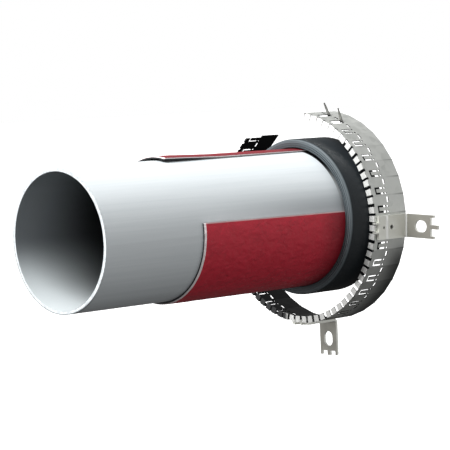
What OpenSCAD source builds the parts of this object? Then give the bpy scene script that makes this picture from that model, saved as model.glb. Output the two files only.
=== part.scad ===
// Pipe fire collar, shown before its strap is pulled tight: a plastic pipe in a cut-open red
// sleeve, a wound fire ring on the sleeve, and an open steel strap with three fixing brackets.
// Millimetres. The pipe axis runs along Y with the open end toward -Y and the cut back end at
// Y = 0, and +Z is up. The wall face that the brackets are screwed to lies cut_end behind that.

/* [Pipe] */
// outside diameter of the pipe
pipe_d = 110; // [90:1:125]
// wall of the pipe
pipe_wall = 2.7; // [1.8:0.1:5]
// distance from the wall face to the open end of the pipe
pipe_len = 308; // [240:1:400]
// distance from the wall face to the cut back end of the pipe and the sleeve
cut_end = 18; // [0:0.5:25]

/* [Sleeve] */
// thickness of the sleeve sheet
sleeve_t = 2; // [1.6:0.1:4]
// room between the pipe and the sleeve
sleeve_gap = 0.3; // [0.2:0.1:0.8]
// distance from the wall face to the front end of the sleeve
sleeve_len = 212; // [120:1:230]
// length of the bevel at the front end, and the sheet left at its edge
bevel_len = 3.2; // [0.5:0.1:8]
bevel_edge = 0.4; // [0.2:0.1:1.2]
// edges of the cut-open window, as angles from +X toward +Z
window_from = 8.6; // [0:0.1:40]
window_to = 79; // [50:0.1:110]

/* [Fire ring] */
// thickness of the wound strip
turn_t = 1.7; // [1:0.1:3]
// number of turns in the ring
turns = 4; // [2:1:6]
// length of the ring along the pipe
ring_len = 40.5; // [25:0.5:60]
// distance from the wall face to the back of the ring
ring_back = 18; // [0:0.5:25]
// room between the sleeve and the ring
ring_gap = 0.3; // [0.2:0.1:0.8]
// rounding of the outer edges
ring_edge = 2.9; // [1:0.1:5]
// width and depth of the line between two turns on the end faces
turn_line_w = 0.4; // [0.2:0.1:0.8]
turn_line_depth = 0.5; // [0.2:0.1:1]

/* [Strap] */
// distance from the middle of the loop to the outer face of a facet
strap_r = 88.4; // [86:0.1:100]
// facets in a whole turn, each one pitch of the pattern
strap_facets = 37; // [30:1:44]
// sheet thickness
strap_t = 0.7; // [0.5:0.1:1.5]
// width of the strap along the pipe
strap_w = 38; // [32:0.5:60]
// ends of the open loop, as angles from +X toward +Z
strap_from = -229; // [-260:0.1:-200]
strap_to = 83.9; // [70:0.1:95]
// side of the loop that lies against the ring, as an angle from +X toward +Z
seat_angle = 9.1; // [-20:0.1:20]
// room between the teeth and the ring there
seat_gap = 0.3; // [0.2:0.1:0.8]

/* [Strap teeth] */
// how far the teeth are folded in, from the outer face
tooth_depth = 5.4; // [4:0.1:9]
// width of the notch in the middle of a facet
mid_notch = 2.6; // [1.8:0.1:3.2]
// width of the notch at a bend line
bend_notch = 2; // [1.8:0.1:3]
// how far the notches run past the fold
notch_past = 1.6; // [1:0.1:3]
// facets at the far end that have no teeth, so that they slide under the near end
plain_facets = 2.5; // [0.5:0.5:5]

/* [Strap pattern] */
// width and length of a tongue
tongue_w = 3; // [2:0.1:4]
tongue_len = 8; // [6:0.1:12]
// width of the cut round a tongue
cut_w = 1.5; // [0.6:0.1:1.8]
// distance from the fold to the front of the cut
cut_front = 5.3; // [4:0.1:7]
// relief holes behind the ends of the cut
relief_d = 1.9; // [1:0.1:2.2]
relief_gap = 1.4; // [0.4:0.1:2]
// length and width of the slits between tongues
slit_len = 4.5; // [2:0.1:6]
slit_w = 2.1; // [0.8:0.1:2.5]
// distance from the fold to the middle of a slit
slit_at = 18.1; // [10:0.1:22]

/* [Closing tongues] */
// tongues at the near end that are bent out to close the strap
open_tongues = 2; // [1:1:3]
// length, width at the root and width at the tip
spike_len = 12; // [6:0.5:14]
spike_root = 3; // [1.5:0.1:4]
spike_tip = 1; // [0.5:0.1:2]
// lean from the radius toward the free end
spike_lean = 43; // [0:1:50]

/* [Brackets] */
// facets from the bottom bracket round to the one on either side
side_facets = 9; // [7:1:11]
// width and sheet thickness of a bracket
bracket_w = 19.3; // [17:0.1:24]
bracket_t = 2; // [1:0.1:3]
// room between the strap and a bracket
bracket_gap = 0.2; // [0.1:0.1:0.5]
// distance from the strap's fold to the front edge of a bracket's strip
strip_set = 3; // [2:0.1:5]
// inside radius of the bend into the lug
bend_in = 1.6; // [0.8:0.1:3]
// length of the lug from the strap side to the bottom of its fork
lug_len = 28; // [26:0.1:45]
// slot in the lug: width, length and distance from the strap side
slot_w = 9.6; // [5:0.1:11]
slot_len = 12.6; // [11:0.1:16]
slot_at = 17.6; // [15:0.1:19]
// fork at the end of the lug: width of a side prong, of the middle prong, and side length
side_prong_w = 2.1; // [1:0.1:3]
mid_prong_w = 3.4; // [2:0.1:5]
side_prong_len = 3.4; // [1:0.1:6]
// length of the middle prong on the right bracket and on the other two
long_prong = 8; // [2:0.1:10]
short_prong = 3.8; // [2:0.1:10]
// groove across a bracket's strip: distance from the fold and depth
groove_at = 12.7; // [10:0.1:15]
groove_depth = 1.2; // [0.4:0.1:1.6]
// small holes in front of the groove and behind it: distance from the fold and diameter
front_hole_at = 9.2; // [7:0.1:10]
front_hole_d = 2.2; // [1:0.1:2.6]
back_hole_at = 18.4; // [17.5:0.1:25]
back_hole_d = 3.6; // [1:0.1:4]
// hooks that hold the strap's front edge: width, thickness and length
hook_w = 1.2; // [0.5:0.1:1.2]
hook_t = 1.1; // [0.6:0.1:1.4]
hook_len = 4; // [2:0.1:5]

/* [Hidden] */
$fn = 64;
// overrun of cutters past the faces they cut
over = 1;
pipe_r = pipe_d / 2;
sleeve_in = pipe_r + sleeve_gap;
sleeve_out = sleeve_in + sleeve_t;
ring_in = sleeve_out + ring_gap;
ring_t = turn_t * turns;
ring_out = ring_in + ring_t;
// the loop is set off from the pipe axis until its teeth meet the ring at the seat angle
strap_off = strap_r - tooth_depth - ring_out - seat_gap;
facet_angle = 360 / strap_facets;
facet_len = 2 * strap_r * tan(facet_angle / 2);
// tongues sit a quarter of a facet past a bend line, slits a quarter before the next one
quarter_angle = facet_angle / 4;
quarter_len = facet_len / 4;
cut_out_w = tongue_w + 2 * cut_w;
relief_at = cut_front + cut_w + tongue_len + relief_gap + relief_d / 2;
// a bracket lies flat on a facet, with its middle on the facet's tongue
bracket_in = strap_r + bracket_gap;
bracket_out = bracket_in + bracket_t;
// facets are numbered from the one at the bottom, turned so that the side slots lie level
bottom = -90 - quarter_angle + atan(quarter_len / (bracket_in + slot_at));
first_facet = ceil((strap_from - bottom) / facet_angle);
last_facet = floor((strap_to - bottom - quarter_angle) / facet_angle);
teeth_from = bottom + (first_facet + plain_facets) * facet_angle - quarter_angle;
bend_out = bend_in + bracket_t;
hook_out = strap_r - strap_t - seat_gap;

// Wall frame: children are drawn with +Z out of the wall along the pipe, X right and Y up
module from_wall() {
    translate([0, cut_end, 0])
        rotate([90, 0, 0])
            children();
}

// Loop frame: the wall frame moved to the middle of the strap's loop
module from_loop() {
    from_wall()
        translate(-strap_off * [cos(seat_angle), sin(seat_angle), 0])
            children();
}

module pipe() {
    color([0.88, 0.89, 0.9])
        from_wall()
            translate([0, 0, cut_end])
                difference() {
                    cylinder(h = pipe_len - cut_end, r = pipe_r);
                    translate([0, 0, -over])
                        cylinder(h = pipe_len - cut_end + 2 * over, r = pipe_r - pipe_wall);
                }
}

module sound_sleeve() {
    color([0.55, 0.12, 0.16])
        from_wall()
            rotate([0, 0, window_to])
                rotate_extrude(angle = 360 - window_to + window_from)
                    polygon([
                        [sleeve_in, cut_end],
                        [sleeve_out, cut_end],
                        [sleeve_out, sleeve_len - bevel_len],
                        [sleeve_in + bevel_edge, sleeve_len],
                        [sleeve_in, sleeve_len]
                    ]);
}

// Half section of the ring: outer edges rounded, a line on each end face between two turns
module ring_section() {
    difference() {
        union() {
            square([ring_t - ring_edge, ring_len]);
            translate([0, ring_edge])
                square([ring_t, ring_len - 2 * ring_edge]);
            for (y = [ring_edge, ring_len - ring_edge])
                translate([ring_t - ring_edge, y])
                    circle(r = ring_edge);
        }
        for (i = [1 : turns - 1], y = [0, ring_len])
            translate([i * turn_t - turn_line_w / 2, y - turn_line_depth])
                square([turn_line_w, 2 * turn_line_depth]);
    }
}

module fire_ring() {
    color([0.3, 0.32, 0.34])
        from_wall()
            translate([0, 0, ring_back])
                rotate_extrude()
                    translate([ring_in, 0])
                        ring_section();
}

// Angle of a facet's tongue, of the bend line before it and of the facet's middle
function tongue_angle(k) = bottom + k * facet_angle;
function bend_angle(k) = tongue_angle(k) - quarter_angle;
function mid_angle(k) = tongue_angle(k) + quarter_angle;

// Number of the facet that holds an angle, and the point of a faceted loop at that angle
function facet_at(a) = floor((a - bend_angle(0)) / facet_angle);
function loop_point(a, r) = r / cos(a - mid_angle(facet_at(a))) * [cos(a), sin(a)];

// Flat section of the open loop from an angle on, from the outer face inward to a depth
module loop_section(from, depth) {
    bends = [for (k = [facet_at(from) + 1 : facet_at(strap_to)]) bend_angle(k)];
    angles = concat([from], bends, [strap_to]);
    outside = [for (a = angles) loop_point(a, strap_r)];
    inside = [for (i = [len(angles) - 1 : -1 : 0]) loop_point(angles[i], strap_r - depth)];
    polygon(concat(outside, inside));
}

// Facet frame: X along the facet, Y back from the fold, Z out from its outer face
module on_facet(k) {
    rotate([0, 0, mid_angle(k)])
        translate([strap_r, 0, strap_w])
            rotate([90, 0, 90])
                mirror([0, 1, 0])
                    children();
}

// Outline of the cut that frees a tongue, or of the window left by a tongue bent out
module tongue_outline(open) {
    back = open ? relief_at : cut_front + cut_w + tongue_len;
    difference() {
        translate([-cut_out_w / 2, cut_front])
            square([cut_out_w, back - cut_front]);
        if (!open)
            translate([-tongue_w / 2, cut_front + cut_w])
                square([tongue_w, tongue_len + over]);
    }
}

// Everything cut through one facet behind its teeth
module facet_cuts(open) {
    translate([0, 0, -strap_t - over])
        linear_extrude(strap_t + 2 * over) {
            translate([-quarter_len, 0]) {
                tongue_outline(open);
                for (x = [-1, 1] * (tongue_w + cut_w) / 2)
                    translate([x, relief_at])
                        circle(d = relief_d, $fn = 8);
            }
            translate([quarter_len - slit_len / 2, slit_at - slit_w / 2])
                square([slit_len, slit_w]);
        }
}

// Notch through the folded teeth at the middle of a facet or on a bend line
module tooth_notch(angle, width) {
    rotate([0, 0, angle])
        translate([strap_r - tooth_depth - over, -width / 2, strap_w - notch_past])
            cube([tooth_depth + 2 * over, width, notch_past + over]);
}

// Front part of the far end, which stops at the side of the first tongue
module far_end_cut() {
    on_facet(first_facet)
        translate([-quarter_len - tongue_w / 2 - facet_len, -over, -tooth_depth])
            cube([facet_len, relief_at + over, tooth_depth + over]);
}

// One tongue bent out of its window, standing across the strap and leaning to the free end
module spike(k) {
    rotate([0, 0, tongue_angle(k)])
        translate([strap_r - strap_t / 2, 0, strap_w - relief_at - strap_t])
            rotate([0, 0, spike_lean])
                linear_extrude(strap_t)
                    polygon([
                        [-strap_t / 4, -spike_root / 2],
                        [spike_len, -spike_tip / 2],
                        [spike_len, spike_tip / 2],
                        [-strap_t / 4, spike_root / 2]
                    ]);
}

module steel_strap() {
    color([0.68, 0.69, 0.67])
        from_loop() {
            difference() {
                union() {
                    linear_extrude(strap_w)
                        loop_section(strap_from, strap_t);
                    translate([0, 0, strap_w - strap_t])
                        linear_extrude(strap_t)
                            loop_section(teeth_from, tooth_depth);
                }
                for (k = [first_facet : last_facet]) {
                    on_facet(k)
                        facet_cuts(k > last_facet - open_tongues);
                    tooth_notch(mid_angle(k), mid_notch);
                    tooth_notch(bend_angle(k), bend_notch);
                }
                tooth_notch(bend_angle(last_facet + 1), bend_notch);
                far_end_cut();
            }
            for (k = [last_facet - open_tongues + 1 : last_facet])
                spike(k);
        }
}

// Side view of a bracket: strip on the strap, its cross groove and the bend toward the lug
module strip_section() {
    difference() {
        translate([bracket_in, bend_out])
            square([bracket_t, strap_w - strip_set - bend_out]);
        translate([bracket_out, strap_w - groove_at])
            rotate(45)
                square(groove_depth * sqrt(2), center = true);
    }
    translate([bracket_in + bend_out, bend_out])
        difference() {
            intersection() {
                circle(r = bend_out);
                translate([-bend_out, -bend_out])
                    square(bend_out);
            }
            circle(r = bend_in);
        }
}

// Front view of a lug: slot for the screw and a three-pronged fork at the end
module lug_outline(prong_len) {
    fork_at = bracket_in + lug_len;
    notch_w = (bracket_w - mid_prong_w) / 2 - side_prong_w;
    straight = slot_len - slot_w;
    difference() {
        translate([bracket_in + bend_out, -bracket_w / 2])
            square([lug_len - bend_out + side_prong_len, bracket_w]);
        translate([bracket_in + slot_at, 0]) {
            for (x = [-1, 1] * straight / 2)
                translate([x, 0])
                    circle(d = slot_w);
            square([straight, slot_w], center = true);
        }
        for (side = [-1, 1])
            translate([fork_at, side * (mid_prong_w + notch_w) / 2 - notch_w / 2])
                square([side_prong_len + over, notch_w]);
    }
    translate([fork_at - over, -mid_prong_w / 2])
        square([prong_len + over, mid_prong_w]);
}

// Hook through a notch: forward from the strip, in past the fold and back along the inside
module hook_section() {
    translate([bracket_in, strap_w - strip_set - over])
        square([bracket_t, strip_set + over]);
    translate([hook_out - hook_t, strap_w - hook_t])
        square([bracket_out - hook_out + hook_t, hook_t]);
    translate([hook_out - hook_t, strap_w - hook_len])
        square([hook_t, hook_len]);
}

module bracket(k, prong_len) {
    color([0.6, 0.61, 0.58])
        from_loop()
            rotate([0, 0, mid_angle(k)])
                translate([0, -quarter_len, 0])
                    difference() {
                        union() {
                            rotate([90, 0, 0])
                                linear_extrude(bracket_w, center = true)
                                    strip_section();
                            linear_extrude(bracket_t)
                                lug_outline(prong_len);
                            for (y = [-1, 1] * quarter_len)
                                translate([0, y, 0])
                                    rotate([90, 0, 0])
                                        linear_extrude(hook_w, center = true)
                                            hook_section();
                        }
                        for (hole = [[front_hole_at, front_hole_d], [back_hole_at, back_hole_d]])
                            translate([bracket_in - over, 0, strap_w - hole[0]])
                                rotate([0, 90, 0])
                                    cylinder(h = bracket_t + 2 * over, d = hole[1]);
                    }
}

module bracket_right() {
    bracket(side_facets, long_prong);
}

module bracket_bottom() {
    bracket(0, short_prong);
}

module bracket_left() {
    bracket(-side_facets, short_prong);
}

pipe();
sound_sleeve();
fire_ring();
steel_strap();
bracket_right();
bracket_bottom();
bracket_left();
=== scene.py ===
import functools
import math
from types import SimpleNamespace

import bpy
from mathutils import Euler, Matrix, Vector


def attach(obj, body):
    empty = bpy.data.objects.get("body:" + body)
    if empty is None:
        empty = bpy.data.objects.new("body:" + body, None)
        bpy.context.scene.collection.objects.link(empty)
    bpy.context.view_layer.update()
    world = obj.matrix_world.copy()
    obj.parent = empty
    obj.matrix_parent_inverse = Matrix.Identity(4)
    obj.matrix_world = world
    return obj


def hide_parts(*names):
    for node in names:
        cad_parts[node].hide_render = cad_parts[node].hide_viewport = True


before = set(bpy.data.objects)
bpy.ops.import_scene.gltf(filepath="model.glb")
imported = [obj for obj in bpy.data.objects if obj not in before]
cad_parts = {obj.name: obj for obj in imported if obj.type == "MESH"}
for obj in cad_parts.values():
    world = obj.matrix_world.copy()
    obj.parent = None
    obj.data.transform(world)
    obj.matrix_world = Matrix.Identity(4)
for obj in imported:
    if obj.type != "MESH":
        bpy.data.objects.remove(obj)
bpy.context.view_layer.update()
scene = bpy.context.scene

# Lengths are in metres, and a point times this keeps only its place across the pipe
MM = 0.001
ACROSS_PIPE = (1, 0, 1)


def extent(name):
    """Front and back of a solid along the pipe, and its inner and outer radius about the pipe's axis."""
    points = [vertex.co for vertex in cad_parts[name].data.vertices]
    along = [point.y for point in points]
    radii = [math.hypot(point.x, point.z) for point in points]
    return SimpleNamespace(front=min(along), back=max(along), inner=min(radii), outer=max(radii))


PIPE, SLEEVE, RING, STRAP = map(extent, ["pipe", "sound_sleeve", "fire_ring", "steel_strap"])

# The strap's loop rests its teeth on the ring at one side, so its centre lies off the pipe's axis
FACET_FLAT = 88.4 * MM
FACET_TURN = math.radians(360 / 37)
FACET_CORNER = FACET_FLAT / math.cos(FACET_TURN / 2)
TOOTH_DEPTH, SEAT_GAP = 5.4 * MM, 0.3 * MM
SEAT_ANGLE = math.radians(9.1)
LOOP_SHIFT = FACET_FLAT - TOOTH_DEPTH - SEAT_GAP - RING.outer
LOOP = (-LOOP_SHIFT * math.cos(SEAT_ANGLE), 0.0, -LOOP_SHIFT * math.sin(SEAT_ANGLE))

# The side brackets are nine facets from the bottom one, and a bend lies a quarter facet beside it
BOTTOM_BRACKET = math.radians(-90.404)
BOTTOM_BEND = BOTTOM_BRACKET - FACET_TURN / 4
BRACKET_STEP = 9 * FACET_TURN

# A bracket's groove and the bend of its lug lie at these distances from the strap's edges
GROOVE = STRAP.front + 12.7 * MM
LUG_BEND = STRAP.back - 3.8 * MM

# Kinds of node that are used again and again, and settings that go with them
MATH, VECTOR, PARTS = "ShaderNodeMath", "ShaderNodeVectorMath", "ShaderNodeSeparateXYZ"
NOISE, RANGE, MIX = "ShaderNodeTexNoise", "ShaderNodeMapRange", "ShaderNodeMix"
RAMP, BUMP, SHADER = "ShaderNodeValToRGB", "ShaderNodeBump", "ShaderNodeBsdfPrincipled"
EASED = {"out": 0, "interpolation_type": "SMOOTHSTEP"}
COLOUR = {"out": 2, "data_type": "RGBA"}
SUM = {"out": 0, "operation": "ADD"}
DIFFERENCE = {"out": 0, "operation": "SUBTRACT"}
PRODUCT = {"out": 0, "operation": "MULTIPLY"}
QUOTIENT = {"out": 0, "operation": "DIVIDE"}
SCALED_SUM = {"out": 0, "operation": "MULTIPLY_ADD"}
UNSIGNED = {"out": 0, "operation": "ABSOLUTE"}
TO_AND_FRO = {"out": 0, "operation": "PINGPONG"}
LENGTH = {"out": "Value", "operation": "LENGTH"}
DOT = {"out": "Value", "operation": "DOT_PRODUCT"}


def linear(code):
    """Linear colour of an sRGB hex value."""
    parts = [int(code[i:i + 2], 16) / 255 for i in (1, 3, 5)]
    return [c / 12.92 if c <= 0.04045 else ((c + 0.055) / 1.055) ** 2.4 for c in parts] + [1.0]


def node(tree, kind, inputs=(), out=None, stops=(), **settings):
    """Add a node with its settings, values, links and colour stops; give the node, or one of its outputs.

    Colours are given as sRGB hex values.
    """
    made = tree.nodes.new(kind)
    for name, value in settings.items():
        setattr(made, name, value)
    for name, value in inputs.items() if isinstance(inputs, dict) else enumerate(inputs):
        socket = made.inputs[name]
        if isinstance(value, bpy.types.NodeSocket):
            tree.links.new(value, socket)
        else:
            socket.default_value = linear(value) if socket.type == "RGBA" else value
    if stops:
        for element, (place, code) in zip(made.color_ramp.elements, stops):
            element.position = place
            element.color = linear(code)
    return made if out is None else made.outputs[out]


def finish(name, build):
    """A named material whose shader is made by the function given."""
    made = bpy.data.materials.new(name)
    made.use_nodes = True
    made.node_tree.nodes.clear()
    add = functools.partial(node, made.node_tree)
    add("ShaderNodeOutputMaterial", {"Surface": build(add, add("ShaderNodeTexCoord")).outputs[0]})
    return made


def upvc(add, place):
    """Extruded uPVC: satin, with faint lines along the pipe from the die and a scuffed rim; painted shade on
    the rim's outer edge at the lower left, toward the ring below and in the gap under the ring, and painted
    light and shade in the bore.
    """
    die_line, scuff = 2.5 * MM, 3 * MM
    upper_right = (0.5, 0, 0.87)
    # Where each change of colour begins and ends
    rim_end = PIPE.front + 3 * MM, PIPE.front
    outer_edge = PIPE.outer - 0.9 * MM, PIPE.outer - 0.4 * MM
    lower_left = -8 * MM, -34 * MM
    below_top = 32 * MM, 10 * MM
    before_ring = RING.front - 150 * MM, RING.front
    ring_edge = RING.front - 0.2 * MM, RING.front + 0.2 * MM
    toward_top = 18 * MM, 46 * MM
    bore_floor = -27 * MM, -49 * MM
    dark_from = PIPE.front + 86 * MM, PIPE.front + 106 * MM
    bore_face = PIPE.inner + 0.15 * MM, PIPE.inner + 0.25 * MM

    point = place.outputs["Object"]
    parts = add(PARTS, [point]).outputs
    radius = add(VECTOR, [add(VECTOR, [point, ACROSS_PIPE], **PRODUCT)], **LENGTH)
    to_upper_right = add(VECTOR, [point, upper_right], **DOT)
    drawn = add("ShaderNodeMapping", {"Vector": point, "Scale": (1, 0.02, 1)}, out=0)
    lines = add(NOISE, {"Vector": drawn, "Scale": 1 / die_line, "Detail": 3.0}, out=0)
    outside = add(RAMP, [lines], out=0, stops=[(0.3, "#DDE4E7"), (0.7, "#E4EAED")])

    # The rim is scuffed all round, and its outer edge has painted shade at the lower left
    rim = add(RANGE, [parts["Y"], *rim_end, 0.0, 1.0], **EASED)
    scuffs = add(NOISE, {"Vector": point, "Scale": 1 / scuff, "Detail": 4.0}, out=0)
    scuffed = add(MATH, [rim, add(RANGE, [scuffs, 0.45, 0.65, 0.0, 0.35], **EASED)], **PRODUCT)
    outside = add(MIX, {0: scuffed, 6: outside, 7: "#9C9EA0"}, **COLOUR)
    edge = add(RANGE, [radius, *outer_edge, 0.0, rim], **EASED)
    lower_left_shade = add(RANGE, [to_upper_right, *lower_left, 0.0, 0.9], **EASED)
    rim_edge_shade = add(MATH, [edge, lower_left_shade], **PRODUCT)
    outside = add(MIX, {0: rim_edge_shade, 6: outside, 7: "#5E6468"}, **COLOUR)

    # Painted shade deepens toward the ring below, and the gap under the ring is painted dark above as painted
    # shade
    ring_shade_by_height = add(RANGE, [parts["Z"], *below_top, 0.03, 0.54], **EASED)
    shade_blend = add(RANGE, [parts["Y"], *before_ring, 0.0, ring_shade_by_height], **EASED)
    outside = add(MIX, {0: shade_blend, 6: outside, 7: "#7E8489"}, **COLOUR)
    gap = add(RANGE, [parts["Z"], *toward_top, 0.15, 1.0], **EASED)
    ring_gap_shade = add(RANGE, [parts["Y"], *ring_edge, 0.0, gap], **EASED)
    outside = add(MIX, {0: ring_gap_shade, 6: outside, 7: "#0B0C0D"}, **COLOUR)

    # The bore has painted light on its floor by the mouth and painted shade that deepens with depth
    lit_floor_share = add(RANGE, [to_upper_right, *bore_floor, 0.0, 1.0], **EASED)
    reach = add(RANGE, [lit_floor_share, 0.0, 1.0, *dark_from], out=0)
    depth = add(RANGE, [parts["Y"], PIPE.front, reach, 0.0, 1.0], **EASED)
    near = add(MIX, {0: lit_floor_share, 6: "#8A8F93", 7: "#D2D9DB"}, **COLOUR)
    inside = add(MIX, {0: depth, 6: near, 7: "#17191B"}, **COLOUR)
    past_bore = add(RANGE, [radius, *bore_face, 0.0, 1.0], **EASED)
    colour = add(MIX, {0: past_bore, 6: inside, 7: outside}, **COLOUR)

    rough = add(RANGE, [lines, 0.2, 0.8, 0.38, 0.46], **EASED)
    bump = add(BUMP, {"Height": lines, "Strength": 0.06, "Distance": 0.05 * MM}, out=0)
    return add(SHADER, {"Base Color": colour, "Roughness": rough, "IOR": 1.53, "Normal": bump})


def red_film(add, place):
    """Red film laminated on a pale backing and foam: creased like thin leather, layered where it is cut, with
    painted shade in its creases, by its top cut, toward the ring and on the foam at the front end, and a
    painted highlight along its low cut.

    The sheet's own attributes give the share of its thickness and the way from its two cuts.
    """
    grain_size, fold_size, patch_size = 4 * MM, 8 * MM, 16 * MM
    # Where each change of colour begins and ends
    top_cut_shade = 7 * MM, 22 * MM
    low_cut_line = 0.6 * MM, 1.2 * MM
    before_ring = RING.front - 34 * MM, RING.front
    foam_front_shade = SLEEVE.front + 24 * MM, SLEEVE.front + 74 * MM
    foam_top, backing_top = (0.57, 0.61), (0.9, 0.94)

    layer, from_cut, to_low_cut = [add("ShaderNodeAttribute", out="Fac", attribute_name=name)
                                   for name in ("layer", "from_cut", "to_low_cut")]
    point = place.outputs["Object"]
    along = add(PARTS, [point], out="Y")
    drawn = add("ShaderNodeMapping", {"Vector": point, "Scale": (1, 0.6, 1)}, out=0)
    grain = add(NOISE, {"Vector": drawn, "Scale": 1 / grain_size, "Detail": 5.0, "Roughness": 0.65}, out=0)
    folds = add(NOISE, {"Vector": drawn, "Scale": 1 / fold_size, "Detail": 6.0,
                        "Roughness": 0.58, "Distortion": 0.3}, out=0)
    patches = add(NOISE, {"Vector": point, "Scale": 1 / patch_size, "Detail": 2.0}, out=0)

    # Creases are the lines where the folds turn over, and they show in patches; their darker colour is
    # painted shade
    off_line = add(MATH, [add(MATH, [folds, 0.5], **DIFFERENCE)], **UNSIGNED)
    line = add(RANGE, [off_line, 0.0, 0.05, 1.0, 0.0], **EASED)
    crease = add(MATH, [line, add(RANGE, [patches, 0.48, 0.66, 0.0, 1.0], **EASED)], **PRODUCT)
    red = add(RAMP, [grain], out=0, stops=[(0.3, "#CE2338"), (0.7, "#DC2D44")])
    red = add(MIX, {0: add(MATH, [crease, 0.2], **PRODUCT), 6: red, 7: "#7A0F1E"}, **COLOUR)

    # The film has painted shade by the top cut and toward the ring, and a pale painted highlight along the
    # low cut
    dim = add(RANGE, [from_cut, *top_cut_shade, 0.85, 0.0], **EASED)
    red = add(MIX, {0: dim, 6: red, 7: "#6A0F1B"}, **COLOUR)
    film_shade_by_ring = add(RANGE, [along, *before_ring, 0.0, 0.65], **EASED)
    red = add(MIX, {0: film_shade_by_ring, 6: red, 7: "#64030E"}, **COLOUR)
    low_cut_highlight = add(RANGE, [to_low_cut, *low_cut_line, 0.75, 0.0], **EASED)
    red = add(MIX, {0: low_cut_highlight, 6: red, 7: "#F0DADA"}, **COLOUR)

    # Cut edges show the foam, then the backing, then the film; the foam is painted near black toward the
    # front end as painted shade of the gap under the lifted edge
    shade_blend = add(RANGE, [along, *foam_front_shade, 0.0, 1.0], **EASED)
    foam = add(MIX, {0: shade_blend, 6: "#1B1D20", 7: "#918C8A"}, **COLOUR)
    backed = add(RANGE, [layer, *foam_top, 0.0, 1.0], **EASED)
    layers = add(MIX, {0: backed, 6: foam, 7: "#FBF1F2"}, **COLOUR)
    filmed = add(RANGE, [layer, *backing_top, 0.0, 1.0], **EASED)
    colour = add(MIX, {0: filmed, 6: layers, 7: red}, **COLOUR)

    height = add(MATH, [grain, 0.35, folds], **SCALED_SUM)
    height = add(MATH, [crease, -0.05, height], **SCALED_SUM)
    bump = add(BUMP, {"Height": height, "Strength": 0.7, "Distance": 1.8 * MM}, out=0)
    rough = add(RANGE, [grain, 0.2, 0.8, 0.46, 0.6], **EASED)
    return add(SHADER, {"Base Color": colour, "Roughness": rough, "IOR": 1.5, "Normal": bump})


def intumescent(add, place):
    """Wound graphite strip: near black on its rolled face, and grey in soft rings where the turns are cut,
    painted lighter toward the cut face's outer edge as a painted highlight.
    """
    grit_size, ring_band = 1.2 * MM, 1.1 * MM
    cut_face = RING.inner, RING.outer - 2 * MM

    point = place.outputs["Object"]
    grit = add(NOISE, {"Vector": point, "Scale": 1 / grit_size, "Detail": 3.0}, out=0)
    rolled = add(RAMP, [grit], out=0, stops=[(0.3, "#1D2225"), (0.7, "#272C30")])
    radius = add(VECTOR, [add(VECTOR, [point, ACROSS_PIPE], **PRODUCT)], **LENGTH)
    bands = add(NOISE, {"W": radius, "Scale": 1 / ring_band, "Detail": 2.0}, out=0, noise_dimensions="1D")
    # The cut face is painted lighter toward its outer edge, as a painted highlight of its rounding
    outward = add(RANGE, [radius, *cut_face, -0.3, 0.7], out=0)
    banded = add(MATH, [outward, bands], **SUM)
    cut = add(RAMP, [banded], out=0, stops=[(0.15, "#373D41"), (1.0, "#5C6468")])
    end_on = add(MATH, [add(PARTS, [place.outputs["Normal"]], out="Y")], **UNSIGNED)
    end_face = add(RANGE, [end_on, 0.2, 0.75, 0.0, 1.0], **EASED)
    colour = add(MIX, {0: end_face, 6: rolled, 7: cut}, **COLOUR)
    rough = add(RANGE, [grit, 0.3, 0.7, 0.46, 0.56], **EASED)
    bump = add(BUMP, {"Height": grit, "Strength": 0.3, "Distance": 0.1 * MM}, out=0)
    return add(SHADER, {"Base Color": colour, "Roughness": rough, "IOR": 1.5,
                        "Specular IOR Level": 0.25, "Normal": bump})


def zinc(add, point, dark, light, smooth, dull):
    """Hot-dip zinc: a dull coat with a faint spangle, as its colour and its roughness."""
    spangle_size, cloud_size = 5 * MM, 9 * MM
    spangle = add("ShaderNodeTexVoronoi", {"Vector": point, "Scale": 1 / spangle_size}, out="Color")
    cloud = add(NOISE, {"Vector": point, "Scale": 1 / cloud_size, "Detail": 4.0}, out=0)
    mixed = add(MATH, [spangle, cloud], **SUM)
    colour = add(RAMP, [mixed], out=0, stops=[(0.3, dark), (1.0, light)])
    return colour, add(RANGE, [mixed, 0.0, 2.0, smooth, dull], **EASED)


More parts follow.
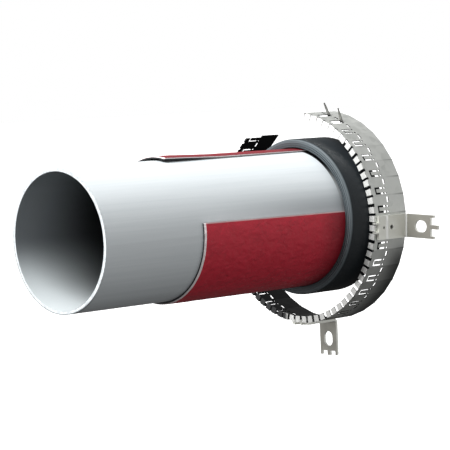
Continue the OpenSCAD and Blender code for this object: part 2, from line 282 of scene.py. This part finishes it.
def strap_zinc(add, place):
    """Galvanised strap: dull outside with painted shade at its bends, toward the wall edge below and under
    the brackets; folded teeth painted bright as a painted highlight, with painted shade on those at the far
    side; tongues painted a darker grey as painted shade; dark inside and cut edges.
    """
    # Where each change of colour begins and ends
    bend_marks = 2 * MM, STRAP.back
    off_the_top = math.radians(48), math.radians(22)
    lower_part = math.radians(-5), math.radians(-24)
    to_wall_edge = STRAP.front + 8 * MM, STRAP.back
    bracket_front = STRAP.front + 4 * MM, STRAP.front + 5 * MM
    bracket_side = 0.04, 0.05
    past_right_bracket = math.radians(23), math.radians(29)
    fold_face = STRAP.front + 0.4 * MM, STRAP.front + 0.2 * MM
    far_teeth_shade_reach = -11 * MM, -16 * MM
    outer_face = FACET_CORNER, FACET_CORNER + 0.3 * MM

    point, normal = place.outputs["Object"], place.outputs["Normal"]
    along = add(PARTS, [point], out="Y")
    zinc_colour, rough = zinc(add, point, "#CED1CC", "#DEE0DC", smooth=0.45, dull=0.6)
    flat = add(VECTOR, [add(VECTOR, [point, LOOP], **DIFFERENCE), ACROSS_PIPE], **PRODUCT)
    outward = add(VECTOR, [flat], out=0, operation="NORMALIZE")
    radius = add(VECTOR, [flat], **LENGTH)
    sides = add(PARTS, [flat]).outputs
    angle = add(MATH, [sides["Z"], sides["X"]], out=0, operation="ARCTAN2")

    # Bend lines are painted shade: short dark marks toward the wall edge, and less on the part that faces up
    facets = add(MATH, [add(MATH, [angle, BOTTOM_BEND], **DIFFERENCE), FACET_TURN], **QUOTIENT)
    to_bend = add(MATH, [facets, 0.5], **TO_AND_FRO)
    bend = add(RANGE, [to_bend, 0.015, 0.06, 1.0, 0.0], **EASED)
    bend = add(MATH, [bend, add(RANGE, [along, *bend_marks, 0.1, 0.55], **EASED)], **PRODUCT)
    bend = add(MATH, [bend, add(RANGE, [angle, *off_the_top, 0.15, 1.0], **EASED)], **PRODUCT)
    outside = add(MIX, {0: bend, 6: zinc_colour, 7: "#5E605E"}, **COLOUR)

    # The lower part has painted shade toward the wall edge, and the metal under a bracket is painted dark as
    # painted shade
    low_back_shade = add(RANGE, [angle, *lower_part, 0.0, 0.85], **EASED)
    low_back_shade = add(MATH, [low_back_shade, add(RANGE, [along, *to_wall_edge, 0.0, 1.0], **EASED)], **PRODUCT)
    outside = add(MIX, {0: low_back_shade, 6: outside, 7: "#303233"}, **COLOUR)
    steps = add(MATH, [add(MATH, [angle, BOTTOM_BRACKET], **DIFFERENCE), BRACKET_STEP], **QUOTIENT)
    to_bracket = add(MATH, [steps, 0.5], **TO_AND_FRO)
    under = add(RANGE, [to_bracket, *bracket_side, 1.0, 0.0], **EASED)
    under = add(MATH, [under, add(RANGE, [along, *bracket_front, 0.0, 1.0], **EASED)], **PRODUCT)
    under = add(MATH, [under, add(RANGE, [angle, *past_right_bracket, 1.0, 0.0], **EASED)], **PRODUCT)
    outside = add(MIX, {0: under, 6: outside, 7: "#141516"}, **COLOUR)
    facing = add(RANGE, [add(VECTOR, [outward, normal], **DOT), 0.4, 0.5, 0.0, 1.0], **EASED)
    colour = add(MIX, {0: facing, 6: "#0C0D0E", 7: outside}, **COLOUR)

    # Teeth are the front faces at the fold, painted near white as a painted highlight and near black as
    # painted shade on the far side, and the two tongues that are bent out stand past the outer face
    front = add(RANGE, [add(PARTS, [normal], out="Y"), -0.8, -0.9, 0.0, 1.0], **EASED)
    tooth = add(MATH, [front, add(RANGE, [along, *fold_face, 0.0, 1.0], **EASED)], **PRODUCT)
    far_teeth_shade = add(RANGE, [sides["X"], *far_teeth_shade_reach, 0.0, 1.0], **EASED)
    folded = add(MIX, {0: far_teeth_shade, 6: "#F6F7F4", 7: "#1A1B1C"}, **COLOUR)
    colour = add(MIX, {0: tooth, 6: colour, 7: folded}, **COLOUR)
    # The bent-out tongues are painted a darker grey as painted shade
    bent_out = add(RANGE, [radius, *outer_face, 0.0, 1.0], **EASED)
    colour = add(MIX, {0: bent_out, 6: colour, 7: "#6E6E6B"}, **COLOUR)
    metal = add(RANGE, [tooth, 0.0, 1.0, 0.85, 0.3], out=0)
    rough = add(RANGE, [tooth, 0.0, 1.0, rough, 0.2], out=0)
    return add(SHADER, {"Base Color": colour, "Roughness": rough, "Metallic": metal})


def bracket_zinc(add, place):
    """Galvanised bracket: a slightly warm zinc, with a painted highlight along the groove and the bend,
    painted shade on the lug's faces, and edges worn a little brighter.
    """
    # Where each change of colour begins and ends
    toward_wall = 0.0, 1 * MM
    groove_side = 1.6 * MM, 1.8 * MM
    bend_start = LUG_BEND, LUG_BEND + 0.2 * MM
    edge_round = 0.5 * MM

    point, normal = place.outputs["Object"], place.outputs["Normal"]
    along = add(PARTS, [point], out="Y")
    lengthwise = add(MATH, [add(PARTS, [normal], out="Y")], **UNSIGNED)
    colour, rough = zinc(add, point, "#ECEDE5", "#F6F7EF", smooth=0.3, dull=0.42)
    # The strip and the lug are painted as lit and shaded tones of one zinc: the lug's faces square to the
    # pipe are darker as painted shade
    by_wall = add(RANGE, [along, *toward_wall, 0.0, 1.0], out=0)
    lug = add(RANGE, [lengthwise, 0.8, 0.95, 0.0, by_wall], **EASED)
    colour = add(MIX, {0: lug, 6: colour, 7: "#A19F97"}, **COLOUR)

    # The groove and the bend get a painted highlight, but not the faces that are square to the pipe
    off_groove = add(MATH, [add(MATH, [along, GROOVE], **DIFFERENCE)], **UNSIGNED)
    groove = add(RANGE, [off_groove, *groove_side, 1.0, 0.0], **EASED)
    sloped = add(RANGE, [lengthwise, 0.1, 0.25, 0.0, 1.0], **EASED)
    bend = add(RANGE, [along, *bend_start, 0.0, sloped], **EASED)
    groove_and_bend_highlight = add(MATH, [groove, bend], out=0, operation="MAXIMUM")
    groove_and_bend_highlight = add(MATH, [groove_and_bend_highlight, add(RANGE, [lengthwise, 0.97, 0.9, 0.0, 1.0], **EASED)], **PRODUCT)
    colour = add(MIX, {0: groove_and_bend_highlight, 6: colour, 7: "#FAFBF7"}, **COLOUR)

    # Edges are worn a little brighter
    rounded = add("ShaderNodeBevel", {"Radius": edge_round}, out=0, samples=4)
    worn = add(RANGE, [add(VECTOR, [rounded, normal], **DOT), 0.99, 0.9, 0.0, 0.4], **EASED)
    colour = add(MIX, {0: worn, 6: colour, 7: "#F0F1EC"}, **COLOUR)
    return add(SHADER, {"Base Color": colour, "Roughness": rough, "Metallic": 0.5})


def dress(names, material):
    """Give solids of the frame their finish."""
    for name in names:
        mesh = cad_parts[name].data
        mesh.materials.clear()
        mesh.materials.append(material)


dress(["pipe"], finish("upvc_extruded", upvc))
dress(["fire_ring"], finish("intumescent_strip_wound", intumescent))
dress(["steel_strap"], finish("galvanised_strap_pressed", strap_zinc))
dress(["bracket_right", "bracket_bottom", "bracket_left"],
      finish("galvanised_bracket_pressed", bracket_zinc))

# The sleeve is wrapped again as a soft sheet: the sizes of its solid, and how it lifts, thins and wrinkles
SLEEVE_SIZES = {
    "Inner radius": SLEEVE.inner, "Thickness": SLEEVE.outer - SLEEVE.inner,
    "Front": SLEEVE.front, "Length": SLEEVE.back - SLEEVE.front,
    "Window top": math.radians(79), "Window low": math.radians(360 + 8.6), "Window taper": math.radians(1.0),
    "Front lift": 1.4 * MM, "Ring press": 1.1 * MM, "Wrinkle height": 0.5 * MM, "Wrinkle size": 14 * MM,
}


def sleeve_tree(names):
    """Nodes that wrap a sheet round the pipe and leave a window, with the inputs that take its sizes.

    The sheet starts as a block whose sides are the way round, the way along and the way through it.
    """
    columns, rows, layers = 300, 130, 3
    front_bunching = 1.4
    cut_reach, lift_reach = 0.2, 0.35
    bevel_reach, bevel_depth = 0.011, 0.58
    sharp_fold = math.radians(20)

    tree = bpy.data.node_groups.new("wrapped_sleeve", "GeometryNodeTree")
    inputs = {name: tree.interface.new_socket(name=name, in_out="INPUT", socket_type="NodeSocketFloat")
              for name in names}
    inputs["Finish"] = tree.interface.new_socket(
        name="Finish", in_out="INPUT", socket_type="NodeSocketMaterial")
    tree.interface.new_socket(name="Geometry", in_out="OUTPUT", socket_type="NodeSocketGeometry")
    add = functools.partial(node, tree)
    sizes = add("NodeGroupInput").outputs
    inner_radius = sizes["Inner radius"]
    shape = add("GeometryNodeMeshCube", {"Size": (1, 1, 1), "Vertices X": columns,
                                         "Vertices Y": rows, "Vertices Z": layers}, out=0)
    corner = add(VECTOR, [add("GeometryNodeInputPosition", out=0), (0.5, 0.5, 0.5)], **SUM)
    shares = add(PARTS, [corner]).outputs
    around, through = shares["X"], shares["Z"]
    # Rows lie closer together toward the front end
    along = add(MATH, [shares["Y"], front_bunching], out=0, operation="POWER")
    y = add(MATH, [along, sizes["Length"], sizes["Front"]], **SCALED_SUM)

    # The window is a little narrower in front
    taper = add(MATH, [add(MATH, [along, -2.0, 1.0], **SCALED_SUM), sizes["Window taper"]], **PRODUCT)
    start = add(MATH, [sizes["Window top"], taper], **DIFFERENCE)
    stop = add(MATH, [sizes["Window low"], taper], **SUM)
    turn = add(RANGE, [around, 0.0, 1.0, start, stop], out=0)

    # By the window's top cut the sheet lifts off the pipe in front and is pressed thin toward the ring
    by_cut = add(RANGE, [around, 0.0, cut_reach, 1.0, 0.0], **EASED)
    lift = add(RANGE, [along, 0.0, lift_reach, sizes["Front lift"], 0.0], **EASED)
    lift = add(MATH, [lift, by_cut], **PRODUCT)
    press = add(MATH, [add(MATH, [along, by_cut], **PRODUCT), sizes["Ring press"]], **PRODUCT)
    sheet = add(MATH, [sizes["Thickness"], press], **DIFFERENCE)
    # The front end is bevelled, so the backing shows there
    depth = add(MATH, [through, add(RANGE, [along, 0.0, bevel_reach, bevel_depth, 1.0], out=0)], **PRODUCT)

    # Wrinkles swell the sheet a little, in a pattern that lies on it as on a flat one
    laid_flat = add("ShaderNodeCombineXYZ", [add(MATH, [turn, inner_radius], **PRODUCT), y, 0.0], out=0)
    pitch = add(MATH, [1.0, sizes["Wrinkle size"]], **QUOTIENT)
    waves = add(NOISE, {"Vector": laid_flat, "Scale": pitch, "Detail": 3.0, "Distortion": 0.8}, out=0)
    swell = add(MATH, [add(MATH, [waves, 0.5], **DIFFERENCE), sizes["Wrinkle height"]], **PRODUCT)
    sheet = add(MATH, [sheet, swell], **SUM)
    base = add(MATH, [inner_radius, lift], **SUM)
    radius = add(MATH, [depth, sheet, base], **SCALED_SUM)
    x = add(MATH, [radius, add(MATH, [turn], out=0, operation="COSINE")], **PRODUCT)
    z = add(MATH, [radius, add(MATH, [turn], out=0, operation="SINE")], **PRODUCT)

    # The finish reads the layer of the sheet and the way from its two cuts
    from_cut = add(MATH, [add(MATH, [turn, start], **DIFFERENCE), inner_radius], **PRODUCT)
    to_low_cut = add(MATH, [add(MATH, [stop, turn], **DIFFERENCE), inner_radius], **PRODUCT)
    for name, value in {"layer": depth, "from_cut": from_cut, "to_low_cut": to_low_cut}.items():
        shape = add("GeometryNodeStoreNamedAttribute",
                    {"Geometry": shape, "Name": name, "Value": value}, out=0)
    wrapped = add("ShaderNodeCombineXYZ", [x, y, z], out=0)
    shape = add("GeometryNodeSetPosition", {"Geometry": shape, "Position": wrapped}, out=0)
    # The wrapping turns the block inside out
    shape = add("GeometryNodeFlipFaces", [shape], out=0)
    shape = add("GeometryNodeSetShadeSmooth", {"Geometry": shape, "Shade Smooth": True}, out=0)
    fold = add("GeometryNodeInputMeshEdgeAngle", out=0)
    sharp = add("FunctionNodeCompare", {0: fold, 1: sharp_fold}, out=0, operation="GREATER_THAN")
    shape = add("GeometryNodeSetShadeSmooth", {"Geometry": shape, "Selection": sharp, "Shade Smooth": False},
                out=0, domain="EDGE")
    shape = add("GeometryNodeRealizeInstances", [shape], out=0)
    finished = add("GeometryNodeSetMaterial", {"Geometry": shape, "Material": sizes["Finish"]}, out=0)
    add("NodeGroupOutput", [finished])
    return tree, inputs


sleeve = bpy.data.objects.new("wrapped_sleeve", bpy.data.meshes.new("wrapped_sleeve"))
scene.collection.objects.link(sleeve)
wrapping = sleeve.modifiers.new("wrapped_sleeve", "NODES")
wrapping.node_group, sleeve_inputs = sleeve_tree(SLEEVE_SIZES)
for name, value in SLEEVE_SIZES.items():
    wrapping[sleeve_inputs[name].identifier] = value
wrapping[sleeve_inputs["Finish"].identifier] = finish("red_film_laminated", red_film)
graph = bpy.context.evaluated_depsgraph_get()
wrapped_mesh = bpy.data.meshes.new_from_object(sleeve.evaluated_get(graph), depsgraph=graph)
sleeve.modifiers.clear()
sleeve.data = wrapped_mesh
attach(sleeve, "root")
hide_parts("sound_sleeve")


def white_floor(add, place):
    """Plain matt white."""
    return add("ShaderNodeBsdfDiffuse", {"Color": "#F8F8F8"})


# Floor well below the collar, which is held by its wall fixing; it shows pale and sends no light up
FLOOR_REACH, FLOOR_LEVEL = 12.0, -0.5
corners = [(x * FLOOR_REACH, y * FLOOR_REACH, FLOOR_LEVEL) for x, y in [(-1, -1), (1, -1), (1, 1), (-1, 1)]]
floor_mesh = bpy.data.meshes.new("floor")
floor_mesh.from_pydata(corners, [], [range(len(corners))])
floor_mesh.materials.append(finish("floor_white", white_floor))
floor = bpy.data.objects.new("floor", floor_mesh)
floor.visible_diffuse = False
floor.visible_glossy = False
scene.collection.objects.link(floor)

# Soft light from above that falls away below, as under a studio ceiling; the surround itself shows white
GLOW_BELOW, GLOW_ABOVE = 0.05, 0.45
scene.world = bpy.data.worlds.new("studio")
scene.world.use_nodes = True
scene.world.node_tree.nodes.clear()
add = functools.partial(node, scene.world.node_tree)
height = add(PARTS, [add("ShaderNodeTexCoord", out="Generated")], out="Z")
glow = add(RANGE, [height, -1.0, 1.0, GLOW_BELOW, GLOW_ABOVE], **EASED)
seen = add("ShaderNodeLightPath", out="Is Camera Ray")
strength = add(MATH, [glow, seen], out=0, operation="MAXIMUM")
sky = add("ShaderNodeBackground", {"Color": "#FFFFFF", "Strength": strength}, out=0)
add("ShaderNodeOutputWorld", {"Surface": sky})


def lamp(name, kind, toward, power, **settings):
    """A soft light that stands in the direction given and shines back at the collar."""
    light = bpy.data.lights.new(name, kind)
    light.energy = power
    for key, value in settings.items():
        setattr(light, key, value)
    holder = bpy.data.objects.new(name, light)
    holder.location = toward
    holder.rotation_euler = Vector(toward).to_track_quat("Z", "Y").to_euler()
    holder.visible_camera = False
    scene.collection.objects.link(holder)


lamp("key", "SUN", (-0.2, -0.62, 0.76), 5.4, angle=math.radians(40))
lamp("side_fill", "SUN", (0.72, 0.68, -0.05), 0.3, angle=math.radians(60))
lamp("front_fill", "SUN", (0.7, -0.68, 0.2), 0.4, angle=math.radians(30))
# Panel that the lugs and the strap's folded teeth mirror toward the camera
lamp("left_panel", "AREA", (-2.2, -2.1, -0.3), 12, size=1.8)

# Camera fitted to the photograph: a long lens, in pixels of its width, with the pipe's mouth on the left
PHOTO_WIDTH, FOCAL_LENGTH, OFF_CENTRE = 450, 2092.47, 0.9
EYE = (1.214592, -1.26102, 0.149014)
AZIMUTH, ELEVATION, ROLL = math.radians(46.75378), math.radians(5.15308), math.radians(-1.12609)
lens = bpy.data.cameras.new("camera")
lens.lens = lens.sensor_width * FOCAL_LENGTH / PHOTO_WIDTH
lens.shift_x = -OFF_CENTRE / PHOTO_WIDTH
lens.shift_y = OFF_CENTRE / PHOTO_WIDTH
camera = bpy.data.objects.new("camera", lens)
aim = Euler((math.pi / 2 - ELEVATION, 0, AZIMUTH)).to_matrix().to_4x4()
camera.matrix_world = Matrix.Translation(EYE) @ aim @ Matrix.Rotation(ROLL, 4, "Z")
scene.collection.objects.link(camera)
scene.camera = camera
scene.view_settings.view_transform = "Standard"
